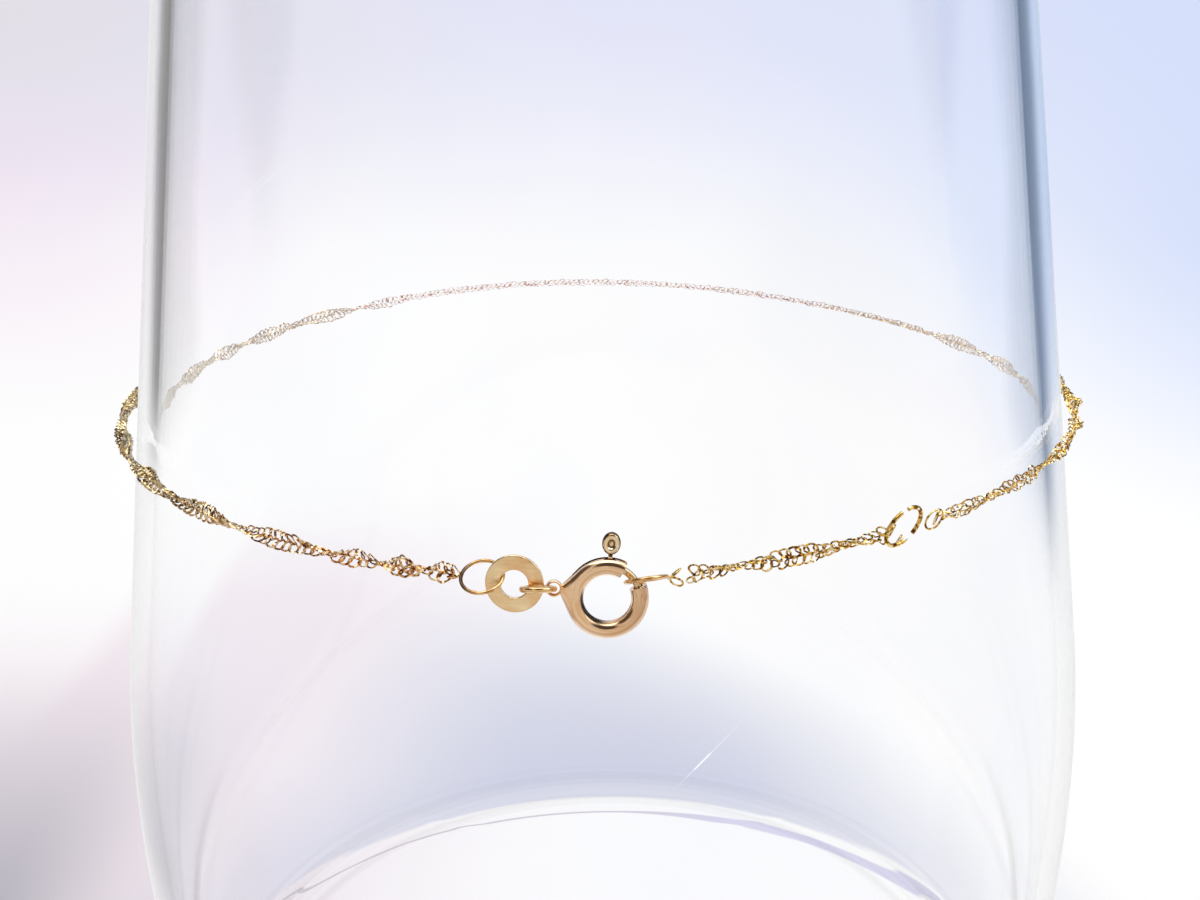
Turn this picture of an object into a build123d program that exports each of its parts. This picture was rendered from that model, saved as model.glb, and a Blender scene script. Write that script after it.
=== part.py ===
"""Fine gold chain anklet with a spring-ring clasp, sitting round a clear glass stand.

Millimetres, +Z up. The origin is the centre of the glass's base and the clasp faces -Y.
"""
import os
from math import asin, atan, cos, exp, radians, sin, sqrt, tan

from build123d import *

# Glass stand: a round-bellied tumbler whose wall tapers to the rim.
glass_height = 113.0
glass_wall = 1.5
belly_radius = 42.45
belly_height = 33.0
lower_curve = 140.0         # radius of the outer wall's curve below the belly
upper_curve = 105.0         # radius of the outer wall's curve above the belly
taper_angle = 8.0           # lean of the straight wall, in degrees
foot_curve = 2.5            # radius between the lower wall and the base
floor_thickness = 2.2
floor_curve = 4.0           # radius inside, between the floor and the wall

# Anklet loop: its centre line is this circle, apart from small rises and falls.
loop_radius = 39.9
loop_height = 66.0
loop_wave = 0.35            # three rises round the loop
loop_lean = 0.35            # two rises round the loop
clasp_sag = 0.4             # extra drop beside the clasp
sag_spread = 14.0           # how far from the front the drop reaches, in degrees

# Chain, as one tube; angles run from the front towards +X.
chain_diameter = 1.4
chain_start = 6.8
chain_end = 347.0
chain_step = 8.0            # about one station of the route for each such angle
arc_share = 0.45            # part of a run that each end's arc takes

# Spring-ring clasp, in its own plane: x to the right, y up, z towards the front.
clasp_x = 0.33
clasp_forward = 0.2         # how far it hangs outside the loop's circle
clasp_drop = 1.81           # below loop_height
clasp_outside = 5.2         # outside diameter
tube_diameter = 1.12
bore_diameter = 0.64
gap_low = 20.0              # angles of the gap's two ends, counter-clockwise from the right
gap_high = 60.0
slot_width = 0.38
slot_end = 144.0
eye_angle = 168.5
eye_distance = 3.35
eye_radius = 0.55
eye_hole = 0.36
eye_thickness = 0.4
web_distance = 1.9          # centre of the round that the web grows from
web_radius = 0.95

# Bolt with its thumb knob.
bolt_diameter = 0.48
bolt_low = 12.0
bolt_high = 100.0
knob_angle = 87.0
stem_diameter = 0.26
knob_distance = 3.52
knob_width = 1.17
knob_length = 1.42
knob_thickness = 0.56
knob_edge = 0.2
dimple_radius = 0.55
dimple_depth = 0.16

# Ring at the chain's right end, which the bolt passes through.
end_ring_outside = 2.84
end_ring_wire = 0.28
end_ring_at = (2.42, 1.28, 0.42)
end_ring_tilt = 72.0        # from face-on, its far side low
end_ring_roll = 8.0         # its right end high

# Thick link between the clasp's eye and the flat ring.
clasp_link_outside = 2.4
clasp_link_wire = 0.4
clasp_link_at = (-4.26, 0.67, 0.15)
clasp_link_tilt = 96.0

# Flat ring, and the thin ring between it and the chain's left end.
flat_ring_outside = 3.7
flat_ring_hole = 1.76
flat_ring_thickness = 0.28
flat_ring_edge = 0.06
flat_ring_x = -5.34
flat_ring_drop = 0.84
jump_ring_outside = 3.0
jump_ring_wire = 0.24
jump_ring_x = -7.23
jump_ring_drop = 0.64
jump_ring_lean = 50.0       # its plane against the flat ring's, its top inwards
rings_forward = 0.4         # how far both hang outside the loop's circle


def save(shape, node):
    """Write one sub-part as a STEP file."""
    shape.label = node
    export_step(shape, f"parts/{node}.step")


def wall_at(height):
    """Radius of the glass's straight outer wall at a height."""
    slope = tan(radians(taper_angle))
    start_height = belly_height + upper_curve * sin(radians(taper_angle))
    start_radius = belly_radius - upper_curve * (1 - cos(radians(taper_angle)))
    return start_radius - slope * (height - start_height)


def glass_contour(inset, bottom, corner):
    """Points of one side of the glass: its wall set in by inset, over a flat bottom."""
    low = lower_curve - inset
    high = upper_curve - inset
    low_centre = belly_radius - lower_curve
    high_centre = belly_radius - upper_curve
    reach = low - corner
    fall = belly_height - bottom - corner
    corner_x = low_centre + sqrt(reach**2 - fall**2)
    corner_z = bottom + corner
    ray = atan(fall / (corner_x - low_centre))
    half_ray = ray / 2
    middle = (radians(90) + ray) / 2
    lean = radians(taper_angle)
    top_radius = wall_at(glass_height) - inset / cos(lean)
    return {
        "flat": (corner_x, bottom),
        "corner_middle": (corner_x + corner * cos(middle), corner_z - corner * sin(middle)),
        "corner_end": (low_centre + low * cos(ray), belly_height - low * sin(ray)),
        "low_middle": (low_centre + low * cos(half_ray), belly_height - low * sin(half_ray)),
        "belly": (belly_radius - inset, belly_height),
        "high_middle": (high_centre + high * cos(lean / 2), belly_height + high * sin(lean / 2)),
        "high_end": (high_centre + high * cos(lean), belly_height + high * sin(lean)),
        "top": (top_radius, glass_height),
    }


def contour_side(side):
    """The edges of one side of the glass, from its flat bottom up to the lip."""
    ThreePointArc(side["flat"], side["corner_middle"], side["corner_end"])
    ThreePointArc(side["corner_end"], side["low_middle"], side["belly"])
    ThreePointArc(side["belly"], side["high_middle"], side["high_end"])
    Line(side["high_end"], side["top"])


def make_glass_stand():
    outer = glass_contour(0, 0, foot_curve)
    inner = glass_contour(glass_wall, floor_thickness, floor_curve)
    lip_x = (outer["top"][0] + inner["top"][0]) / 2
    lip_rise = (outer["top"][0] - inner["top"][0]) / 2
    with BuildPart() as glass:
        with BuildSketch(Plane.XZ):
            with BuildLine():
                Line((0, 0), outer["flat"])
                contour_side(outer)
                ThreePointArc(outer["top"], (lip_x, glass_height + lip_rise), inner["top"])
                contour_side(inner)
                Line(inner["flat"], (0, floor_thickness))
                Line((0, floor_thickness), (0, 0))
            make_face()
        revolve(axis=Axis.Z)
    return glass.part


def loop_point(angle):
    """A point of the anklet's centre line; the angle runs from the front towards +X."""
    turn = radians(angle)
    from_front = (angle + 180) % 360 - 180
    rise = -loop_wave * cos(3 * turn) + loop_lean * sin(2 * turn)
    sag = clasp_sag * exp(-((from_front / sag_spread) ** 2))
    return Vector(loop_radius * sin(turn), -loop_radius * cos(turn), loop_height + rise - sag)


def rounded_route(points):
    """Straight runs through the points, with a tangent arc at each corner."""
    edges = []
    start = points[0]
    for before, corner, after in zip(points, points[1:], points[2:]):
        run_in = corner - before
        run_out = after - corner
        reach = arc_share * min(run_in.length, run_out.length)
        leave = corner - run_in.normalized() * reach
        join = corner + run_out.normalized() * reach
        edges.append(Edge.make_line(start, leave))
        edges.append(Edge.make_tangent_arc(leave, run_in, join))
        start = join
    edges.append(Edge.make_line(start, points[-1]))
    return Wire(edges)


def make_chain():
    stations = round((chain_end - chain_start) / chain_step)
    step = (chain_end - chain_start) / stations
    points = [loop_point(chain_start + step * index) for index in range(stations + 1)]
    route = rounded_route(points)
    section = Plane(origin=route @ 0, z_dir=route % 0) * Circle(chain_diameter / 2)
    tube = sweep(section, path=route)
    radius = arc_share * (points[1] - points[0]).length / tan(radians(step / 2))
    print(f"chain: {route.length:.1f} mm, arc radius about {radius:.1f} mm")
    print(f"chain volume against its section times its length: "
          f"{tube.volume / (route.length * section.area):.4f}")
    return tube


def clasp_plane():
    """The clasp's plane: it leans inwards with the glass's wall."""
    lean = radians(taper_angle)
    centre = (clasp_x, -loop_radius - clasp_forward, loop_height - clasp_drop)
    return Plane(origin=centre, x_dir=(1, 0, 0), z_dir=(0, -cos(lean), sin(lean)))


def ring_point(radius, angle):
    """A point in the clasp's plane, from its centre."""
    return (radius * cos(radians(angle)), radius * sin(radians(angle)))


def arc_tube(radius, diameter, low, high):
    """A round bar bent along an arc about the clasp's centre."""
    path = CenterArc((0, 0), radius, low, high - low)
    section = Plane(origin=path @ 0, z_dir=path % 0) * Circle(diameter / 2)
    return sweep(section, path=path)


def slot_cutter(tube_radius):
    """The band through the outer wall of the tube, from its cut end round to slot_end."""
    inside = tube_radius + bore_diameter / 4
    outside = tube_radius + tube_diameter
    sweep_angle = slot_end - gap_high + 4
    with BuildPart() as cutter:
        with BuildSketch(Plane.XY.offset(-slot_width / 2)):
            with BuildLine():
                inner = CenterArc((0, 0), inside, gap_high - 4, sweep_angle)
                outer = CenterArc((0, 0), outside, gap_high - 4, sweep_angle)
                Line(inner @ 0, outer @ 0)
                Line(inner @ 1, outer @ 1)
            make_face()
        extrude(amount=slot_width)
    return cutter.part


def make_clasp_ring():
    tube_radius = (clasp_outside - tube_diameter) / 2
    tube = arc_tube(tube_radius, tube_diameter, gap_high, gap_low + 360)
    bore = arc_tube(tube_radius, bore_diameter, gap_high - 2, gap_low + 362)
    eye_x, eye_y = ring_point(eye_distance, eye_angle)
    web_x, web_y = ring_point(web_distance, eye_angle)
    with BuildPart() as web:
        with BuildSketch(Plane.XY.offset(-eye_thickness / 2)):
            with Locations((eye_x, eye_y)):
                Circle(eye_radius)
            with Locations((web_x, web_y)):
                Circle(web_radius)
            make_hull()
            Circle(tube_radius, mode=Mode.SUBTRACT)
            with Locations((eye_x, eye_y)):
                Circle(eye_hole, mode=Mode.SUBTRACT)
        extrude(amount=eye_thickness)
    return tube + web.part - bore - slot_cutter(tube_radius)


def make_knob():
    """Oval thumb disc with a dimple in its front and back, its length along y."""
    with BuildPart() as knob:
        with BuildSketch(Plane.XY.offset(-knob_thickness / 2)):
            Ellipse(knob_width / 2, knob_length / 2)
        extrude(amount=knob_thickness)
        rims = knob.edges().group_by(Axis.Z)
        fillet(rims[0] + rims[-1], radius=knob_edge)
        for side in (-1, 1):
            with Locations((0, 0, side * (knob_thickness / 2 + dimple_radius - dimple_depth))):
                Sphere(dimple_radius, mode=Mode.SUBTRACT)
    return knob.part


def make_clasp_bolt():
    bolt_radius = (clasp_outside - tube_diameter) / 2
    bar = arc_tube(bolt_radius, bolt_diameter, bolt_low, bolt_high)
    nose = Pos(*ring_point(bolt_radius, bolt_low)) * Sphere(bolt_diameter / 2)
    stem_length = knob_distance - knob_length / 2 - bolt_radius + knob_edge / 2
    stem = Pos(Y=bolt_radius + stem_length / 2) * Rot(X=90) * Cylinder(stem_diameter / 2, stem_length)
    knob = Pos(Y=knob_distance) * make_knob()
    return bar + nose + Rot(Z=knob_angle - 90) * (stem + knob)


def wire_ring(outside, wire):
    return Torus((outside - wire) / 2, wire / 2)


def make_end_ring():
    ring = Rot(Z=end_ring_roll) * Rot(X=end_ring_tilt) * wire_ring(end_ring_outside, end_ring_wire)
    return Pos(*end_ring_at) * ring


def make_clasp_link():
    ring = Rot(X=clasp_link_tilt) * wire_ring(clasp_link_outside, clasp_link_wire)
    return Pos(*clasp_link_at) * ring


def side_plane(x, drop):
    """A plane like the clasp's, further round the loop, turned to face outwards there."""
    turn = asin(x / loop_radius)
    lean = radians(taper_angle)
    out = (sin(turn), -cos(turn))
    distance = loop_radius + rings_forward
    origin = (distance * out[0], distance * out[1], loop_height - drop)
    facing = (cos(lean) * out[0], cos(lean) * out[1], sin(lean))
    return Plane(origin=origin, x_dir=(-out[1], out[0], 0), z_dir=facing)


def make_flat_ring():
    disc = Cylinder(flat_ring_outside / 2, flat_ring_thickness)
    disc -= Cylinder(flat_ring_hole / 2, 2 * flat_ring_thickness)
    return fillet(disc.edges(), radius=flat_ring_edge)


def make_jump_ring():
    return Rot(X=-jump_ring_lean) * wire_ring(jump_ring_outside, jump_ring_wire)


def main():
    os.makedirs("parts", exist_ok=True)
    clasp = clasp_plane()
    save(make_glass_stand(), "glass_stand")
    save(make_chain(), "chain")
    save(clasp * make_clasp_ring(), "clasp_ring")
    save(clasp * make_clasp_bolt(), "clasp_bolt")
    save(clasp * make_end_ring(), "end_ring")
    save(clasp * make_clasp_link(), "clasp_link")
    save(side_plane(flat_ring_x, flat_ring_drop) * make_flat_ring(), "flat_ring")
    save(side_plane(jump_ring_x, jump_ring_drop) * make_jump_ring(), "jump_ring")


main()
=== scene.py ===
import math
import random

import bmesh
import bpy
from mathutils import Matrix, Vector


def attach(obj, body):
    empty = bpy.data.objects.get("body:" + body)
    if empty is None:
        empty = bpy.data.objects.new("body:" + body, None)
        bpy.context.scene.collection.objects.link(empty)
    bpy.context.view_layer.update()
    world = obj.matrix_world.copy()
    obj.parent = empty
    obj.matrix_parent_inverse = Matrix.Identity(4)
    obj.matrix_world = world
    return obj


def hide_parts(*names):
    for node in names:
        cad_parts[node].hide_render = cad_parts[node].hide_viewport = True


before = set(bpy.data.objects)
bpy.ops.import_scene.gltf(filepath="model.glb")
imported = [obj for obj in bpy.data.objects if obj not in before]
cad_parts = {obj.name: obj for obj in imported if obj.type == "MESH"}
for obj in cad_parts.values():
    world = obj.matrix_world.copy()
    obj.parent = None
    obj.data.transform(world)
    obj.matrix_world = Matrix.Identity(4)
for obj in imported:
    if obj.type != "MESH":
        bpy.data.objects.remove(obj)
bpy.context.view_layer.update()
mm = 0.001
black, white = (0.0, 0.0, 0.0), (1.0, 1.0, 1.0)
print("frame loaded:", sorted(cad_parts))

# the loop that the anklet follows; angles run from the front towards +X
loopShape = {
    "radius": 39.9 * mm,
    "height": 66.0 * mm,
    "wave": 0.35 * mm,
    "lean": 0.35 * mm,
    "sag": 0.4 * mm,
    "sagSpread": 14.0,
    "wallLean": math.radians(8.0),    # the glass leans in by this
}


def loopPoint(angle):
    turn = math.radians(angle)
    fromFront = (angle + 180) % 360 - 180
    rise = loopShape["lean"] * math.sin(2 * turn) - loopShape["wave"] * math.cos(3 * turn)
    sag = loopShape["sag"] * math.exp(-((fromFront / loopShape["sagSpread"]) ** 2))
    radius = loopShape["radius"]
    return Vector((radius * math.sin(turn), -radius * math.cos(turn), loopShape["height"] + rise - sag))


# the clasp's own plane, in millimetres: x to the right, y up, z towards the front
def claspPlane(centreX=0.33 * mm, drop=1.81 * mm, forward=0.2 * mm):
    lean = loopShape["wallLean"]
    place = Matrix(((1, 0, 0), (0, math.sin(lean), -math.cos(lean)), (0, math.cos(lean), math.sin(lean)))).to_4x4()
    place.translation = Vector((centreX, -loopShape["radius"] - forward, loopShape["height"] - drop))
    return place @ Matrix.Scale(mm, 4)


# a plane like it for a ring further round the loop
def sidePlane(sideX, drop, forward=0.4 * mm):
    turn = math.asin(sideX / loopShape["radius"])
    lean = loopShape["wallLean"]
    out = Vector((math.sin(turn), -math.cos(turn), 0))
    across = Vector((math.cos(turn), math.sin(turn), 0))
    facing = out * math.cos(lean) + Vector((0, 0, math.sin(lean)))
    up = facing.cross(across)
    place = Matrix((across, up, facing)).transposed().to_4x4()
    place.translation = out * (loopShape["radius"] + forward) + Vector((0, 0, loopShape["height"] - drop))
    return place @ Matrix.Scale(mm, 4)


def meshFrom(bm, name):
    mesh = bpy.data.meshes.new(name)
    bm.to_mesh(mesh)
    bm.free()
    return mesh


def sceneObject(name, data):
    made = bpy.data.objects.new(name, data)
    bpy.context.scene.collection.objects.link(made)
    return made


def mainPiece(name, bm, material, body, slotName, *nodes, sharp=40):
    bmesh.ops.remove_doubles(bm, verts=bm.verts, dist=1e-7)
    mesh = meshFrom(bm, name)
    mesh.shade_smooth()
    mesh.set_sharp_from_angle(angle=math.radians(sharp))
    mesh.materials.append(material)
    piece = sceneObject(name, mesh)
    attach(piece, body)
    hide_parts(*nodes)
    return piece


def turned(angle, axis="Z"):
    return Matrix.Rotation(math.radians(angle), 4, axis)


def moved(bm, matrix):
    bmesh.ops.transform(bm, matrix=matrix, verts=bm.verts)


def fullTurn(bm, steps):
    bmesh.ops.spin(bm, geom=bm.verts[:] + bm.edges[:], cent=(0, 0, 0), axis=(0, 0, 1), angle=2 * math.pi,
                   steps=steps, use_merge=True, use_duplicate=False)


# spins a part of the mesh that far and gives the last vertices
def partTurn(bm, geom, angle, steps, centre=(0, 0, 0), axis=(0, 0, 1)):
    made = bmesh.ops.spin(bm, geom=geom, cent=centre, axis=axis, angle=angle, steps=steps,
                          use_merge=False, use_duplicate=False)
    return [item for item in made["geom_last"] if isinstance(item, bmesh.types.BMVert)]


def faceOutwards(bm):
    bmesh.ops.recalc_face_normals(bm, faces=bm.faces)


def addCylinder(bm, radius, length, sides, matrix):
    bmesh.ops.create_cone(bm, cap_ends=True, segments=sides, radius1=radius, radius2=radius, depth=length,
                          matrix=matrix)


def wireCircle(bm, radius, wire, sides):
    place = Matrix.Translation((radius, 0, 0)) @ turned(90, "X")
    return bmesh.ops.create_circle(bm, cap_ends=False, segments=sides, radius=wire / 2, matrix=place)["verts"]


def arcTube(radius, wire, low, high, steps, sides):
    bm = bmesh.new()
    verts = wireCircle(bm, radius, wire, sides)
    moved(bm, turned(low))
    lastVerts = partTurn(bm, bm.verts[:] + bm.edges[:], math.radians(high - low), steps)
    for ends in (verts, lastVerts):
        bmesh.ops.contextual_create(bm, geom=ends)
    faceOutwards(bm)
    return bm


def ringMesh(radius, wire, steps, sides):
    bm = bmesh.new()
    wireCircle(bm, radius, wire, sides)
    fullTurn(bm, steps)
    faceOutwards(bm)
    return bm


# two closed shapes joined, or the second cut out of the first
def combined(first, second, operation):
    holders = [sceneObject("shaping", meshFrom(bm, "shaping")) for bm in (first, second)]
    cut = holders[0].modifiers.new("cut", "BOOLEAN")
    cut.operation = operation
    cut.solver = "EXACT"
    cut.object = holders[1]
    graph = bpy.context.evaluated_depsgraph_get()
    result = bpy.data.meshes.new_from_object(holders[0].evaluated_get(graph))
    joined = bmesh.new()
    joined.from_mesh(result)
    for holder in holders:
        mesh = holder.data
        bpy.data.objects.remove(holder)
        bpy.data.meshes.remove(mesh)
    bpy.data.meshes.remove(result)
    return joined


def newMaterial(name):
    material = bpy.data.materials.new(name)
    material.use_nodes = True
    tree = material.node_tree
    tree.nodes.clear()
    out = tree.nodes.new("ShaderNodeOutputMaterial")
    shader = tree.nodes.new("ShaderNodeBsdfPrincipled")
    tree.links.new(shader.outputs["BSDF"], out.inputs["Surface"])
    return material, tree, shader


def newGroup(name, inputs, outputs):
    group = bpy.data.node_groups.new(name, "ShaderNodeTree")
    for label, kind, start in inputs:
        group.interface.new_socket(label, in_out="INPUT", socket_type=kind).default_value = start
    for label, kind in outputs:
        group.interface.new_socket(label, in_out="OUTPUT", socket_type=kind)
    return group, group.nodes.new("NodeGroupInput"), group.nodes.new("NodeGroupOutput")


def firstNode(tree, kind):
    return [node for node in tree.nodes if node.type == kind][0]


# puts a number, a colour or another node's output into a socket
def feed(tree, value, socket):
    if isinstance(value, tuple):
        socket.default_value = (*value, 1)
    elif isinstance(value, (int, float)):
        socket.default_value = value
    else:
        tree.links.new(value, socket)


def mathNode(tree, operation, *values):
    node = tree.nodes.new("ShaderNodeMath")
    node.operation = operation
    for index, value in enumerate(values):
        feed(tree, value, node.inputs[index])
    return node.outputs[0]


def total(tree, first, second):
    return mathNode(tree, "ADD", first, second)


def difference(tree, first, second):
    return mathNode(tree, "SUBTRACT", first, second)


def ratio(tree, first, second):
    return mathNode(tree, "DIVIDE", first, second)


def larger(tree, first, second):
    return mathNode(tree, "MAXIMUM", first, second)


def size(tree, value):
    return mathNode(tree, "ABSOLUTE", value)


def product(tree, *values):
    result = values[0]
    for value in values[1:]:
        result = mathNode(tree, "MULTIPLY", result, value)
    return result


def rootSum(tree, first, second):
    return mathNode(tree, "SQRT", total(tree, product(tree, first, first), product(tree, second, second)))


def rangeNode(tree, value, low, high, toLow=0.0, toHigh=1.0):
    node = tree.nodes.new("ShaderNodeMapRange")
    node.interpolation_type = "SMOOTHSTEP"
    feed(tree, value, node.inputs["Value"])
    for label, number in (("From Min", low), ("From Max", high), ("To Min", toLow), ("To Max", toHigh)):
        node.inputs[label].default_value = number
    return node.outputs["Result"]


# 1 where each value is past its range, 0 where one of them is before it
def within(tree, *parts):
    return product(tree, *(rangeNode(tree, value, *limits) for value, limits in parts))


def mixNode(tree, factor, first, second):
    node = tree.nodes.new("ShaderNodeMix")
    node.data_type = "RGBA"
    for index, value in ((0, factor), (6, first), (7, second)):
        feed(tree, value, node.inputs[index])
    return node.outputs[2]


def objectPlace(tree):
    return tree.nodes.new("ShaderNodeTexCoord").outputs["Object"]


def splitPlace(tree, place):
    parts = tree.nodes.new("ShaderNodeSeparateXYZ")
    tree.links.new(place, parts.inputs[0])
    return parts.outputs


def noiseNode(tree, place, scale, detail):
    noise = tree.nodes.new("ShaderNodeTexNoise")
    noise.inputs["Detail"].default_value = detail
    tree.links.new(place, noise.inputs["Vector"])
    feed(tree, scale, noise.inputs["Scale"])
    return noise.outputs["Fac"]


def vectorNode(tree, operation, place, label, value):
    node = tree.nodes.new("ShaderNodeVectorMath")
    node.operation = operation
    tree.links.new(place, node.inputs[0])
    node.inputs[label].default_value = value
    return node.outputs


def dotNode(tree, place, way):
    return vectorNode(tree, "DOT_PRODUCT", place, 1, way)["Value"]


def lightPath(tree):
    return tree.nodes.new("ShaderNodeLightPath").outputs


def groupNode(tree, group, **values):
    node = tree.nodes.new("ShaderNodeGroup")
    node.node_tree = group
    for label, value in values.items():
        feed(tree, value, node.inputs[label])
    return node


def addBump(tree, shader, height, strength, depth):
    bump = tree.nodes.new("ShaderNodeBump")
    bump.inputs["Strength"].default_value = strength
    bump.inputs["Distance"].default_value = depth
    tree.links.new(height, bump.inputs["Height"])
    tree.links.new(bump.outputs["Normal"], shader.inputs["Normal"])


# the shared patterns: how fine their noise goes, and which part of its range becomes 0 to 1
patternLook = {
    "driftDetail": 2.0, "drift": (0.35, 0.65),
    "markDetail": 4.0, "markTurn": (0.4, 0.9, 0.3), "markStretch": (1.0, 0.12, 1.0),
    "wornScale": 0.15, "wornDetail": 3.0, "worn": (0.4, 0.75),
    "speckleDetail": 1.0, "toMiddle": (0.36, 0.50), "toBright": (0.52, 0.64),
    "grainDetail": 4.0, "bandDetail": 3.0, "grain": (0.36, 0.64),
}


# tone that drifts slowly over the metal
def makeToneGroup():
    group, into, out = newGroup(
        "toneDrift",
        [("Tone", "NodeSocketColor", (0.9, 0.6, 0.35, 1)), ("Second", "NodeSocketColor", (0.8, 0.5, 0.3, 1)),
         ("Scale", "NodeSocketFloat", 400.0)],
        [("Color", "NodeSocketColor")])
    noise = noiseNode(group, objectPlace(group), into.outputs["Scale"], patternLook["driftDetail"])
    drift = rangeNode(group, noise, *patternLook["drift"])
    group.links.new(mixNode(group, drift, into.outputs["Tone"], into.outputs["Second"]), out.inputs["Color"])
    return group


# fine polishing marks: a height for bump and a value for roughness
def makePolishGroup():
    group, into, out = newGroup(
        "polishMarks",
        [("Scale", "NodeSocketFloat", 6000.0), ("Smooth", "NodeSocketFloat", 0.06),
         ("Rough", "NodeSocketFloat", 0.2)],
        [("Roughness", "NodeSocketFloat"), ("Height", "NodeSocketFloat")])
    look = patternLook
    place = objectPlace(group)
    stretch = group.nodes.new("ShaderNodeMapping")
    stretch.inputs["Rotation"].default_value = look["markTurn"]
    stretch.inputs["Scale"].default_value = look["markStretch"]
    group.links.new(place, stretch.inputs["Vector"])
    marks = noiseNode(group, stretch.outputs["Vector"], into.outputs["Scale"], look["markDetail"])
    cloud = noiseNode(group, place, product(group, into.outputs["Scale"], look["wornScale"]), look["wornDetail"])
    worn = rangeNode(group, cloud, *look["worn"])
    spread = difference(group, into.outputs["Rough"], into.outputs["Smooth"])
    group.links.new(mathNode(group, "MULTIPLY_ADD", worn, spread, into.outputs["Smooth"]), out.inputs["Roughness"])
    group.links.new(marks, out.inputs["Height"])
    return group


# painted highlights and painted shade: metal that changes from dark to bright within a short way
def makeHighlightShadeGroup():
    group, into, out = newGroup(
        "paintedHighlightsAndShade",
        [("Dark", "NodeSocketColor", (0.25, 0.12, 0.04, 1)), ("Middle", "NodeSocketColor", (0.8, 0.5, 0.2, 1)),
         ("Bright", "NodeSocketColor", (1.0, 0.9, 0.7, 1)), ("Scale", "NodeSocketFloat", 2000.0)],
        [("Color", "NodeSocketColor")])
    look = patternLook
    noise = noiseNode(group, objectPlace(group), into.outputs["Scale"], look["speckleDetail"])
    tone = mixNode(group, rangeNode(group, noise, *look["toMiddle"]), into.outputs["Dark"], into.outputs["Middle"])
    tone = mixNode(group, rangeNode(group, noise, *look["toBright"]), tone, into.outputs["Bright"])
    group.links.new(tone, out.inputs["Color"])
    return group


# straight grain along X, for brushed metal
def makeGrainGroup():
    group, into, out = newGroup(
        "brushedGrain",
        [("Scale", "NodeSocketFloat", 5000.0), ("Stretch", "NodeSocketFloat", 0.06),
         ("Coarse", "NodeSocketFloat", 0.25)],
        [("Grain", "NodeSocketFloat"), ("Bands", "NodeSocketFloat")])
    parts = splitPlace(group, objectPlace(group))
    stretched = group.nodes.new("ShaderNodeCombineXYZ")
    group.links.new(product(group, parts["X"], into.outputs["Stretch"]), stretched.inputs["X"])
    for way in ("Y", "Z"):
        group.links.new(parts[way], stretched.inputs[way])
    coarse = product(group, into.outputs["Scale"], into.outputs["Coarse"])
    for label, scale, detail in (("Grain", into.outputs["Scale"], "grainDetail"), ("Bands", coarse, "bandDetail")):
        noise = noiseNode(group, stretched.outputs["Vector"], scale, patternLook[detail])
        group.links.new(rangeNode(group, noise, *patternLook["grain"]), out.inputs[label])
    return group


toneGroup = makeToneGroup()
polishGroup = makePolishGroup()
highlightShadeGroup = makeHighlightShadeGroup()
grainGroup = makeGrainGroup()

ghostLook = {
    "tone": (0.97, 0.97, 0.98), "strength": 1.0,
    "mirrorings": (0.2, 0.8),    # after how many mirrorings it shows
}


# where the glass mirrors it, the metal is black and glows plain white, like all round it: a painted reflection, so that
# it leaves no ghost on the wall
def setBase(material, colour):
    tree = material.node_tree
    shader = firstNode(tree, "BSDF_PRINCIPLED")
    path = lightPath(tree)
    mirror = product(tree, path["Is Singular Ray"], rangeNode(tree, path["Glossy Depth"], *ghostLook["mirrorings"]))
    tree.links.new(mixNode(tree, mirror, colour, black), shader.inputs["Base Color"])
    # painted reflection: the metal glows plain white where the glass mirrors it
    tree.links.new(mixNode(tree, mirror, black, ghostLook["tone"]), shader.inputs["Emission Color"])
    shader.inputs["Emission Strength"].default_value = ghostLook["strength"]
    material.cycles.emission_sampling = "NONE"


def goldMaterial(name, finish):
    material, tree, shader = newMaterial(name)
    shader.inputs["Metallic"].default_value = 1.0
    tone = groupNode(tree, toneGroup, Tone=finish["tone"], Second=finish["secondTone"], Scale=finish["toneScale"])
    placeX = splitPlace(tree, objectPlace(tree))["X"]
    # painted side light: painted shade towards one side along X, on the flat ring a painted reflection
    paintedSideLight = rangeNode(tree, placeX, finish["paintedSideFrom"], finish["paintedSideTo"], 0.0, finish["dim"])
    setBase(material, mixNode(tree, paintedSideLight, tone.outputs["Color"], finish["paintedSideTone"]))
    polish = groupNode(tree, polishGroup, Scale=finish["markScale"], Smooth=finish["smooth"], Rough=finish["rough"])
    tree.links.new(polish.outputs["Roughness"], shader.inputs["Roughness"])
    addBump(tree, shader, polish.outputs["Height"], finish["markStrength"], finish["markDepth"])
    return material


# "dim" is how much of its painted side light sets in between two places along X: painted shade, and on the flat ring a
# painted reflection. "rings" are painted shade and painted highlights in rings on a round face: where each starts, is
# full, fades and ends, 1 at the outer edge. "limits" are where they start and are full, across and along.
claspFinish = {
    "tone": (1.0, 0.78, 0.55), "secondTone": (0.92, 0.66, 0.43), "toneScale": 420.0,
    "markScale": 9000.0, "smooth": 0.07, "rough": 0.19, "markStrength": 0.3, "markDepth": 0.002 * mm,
    # painted shade: the clasp darker towards its right side
    "paintedSideFrom": 0.7 * mm, "paintedSideTo": 3.2 * mm, "dim": 0.75, "paintedSideTone": (0.66, 0.46, 0.31),
    # painted shade: a dark line round the lower left of the hole's edge
    "rings": [(0.50, 0.56, 0.62, 0.655, (0.07, 0.05, 0.03))], "limits": ((0.15, -0.25), (0.35, 0.05)),
}
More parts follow.
